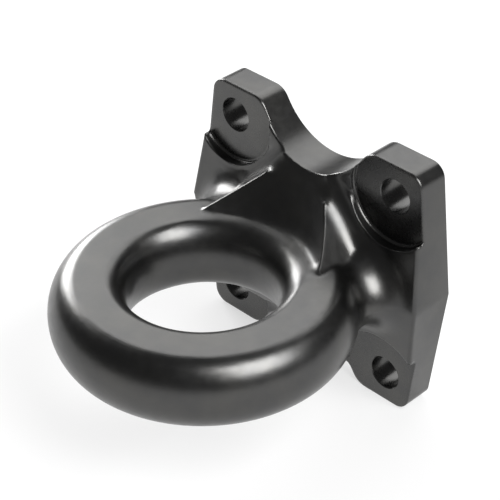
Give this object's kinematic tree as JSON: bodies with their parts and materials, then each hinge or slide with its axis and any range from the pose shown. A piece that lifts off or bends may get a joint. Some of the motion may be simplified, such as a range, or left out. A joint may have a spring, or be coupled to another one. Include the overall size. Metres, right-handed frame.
{
  "type": "bolt-on tow ring",
  "caption": "Forged steel towing eye on a flat bolt-on flange, with a gusseted neck and a rounded ring for a pintle hook.",
  "frame": {"origin": "centre of the bolt pattern on the flat mounting face", "axes": "+Y out of the mounting face into the carrier, +Z along the axis of the eye, X across the flange; the ring lies at -Y"},
  "size_m": [0.16, 0.173, 0.1458],
  "materials": {
    "forged_steel": "dark satin, quenched and oiled forging"
  },
  "bodies": {
    "root": {"tow_ring": "forged_steel"}
  },
  "joints": []
}
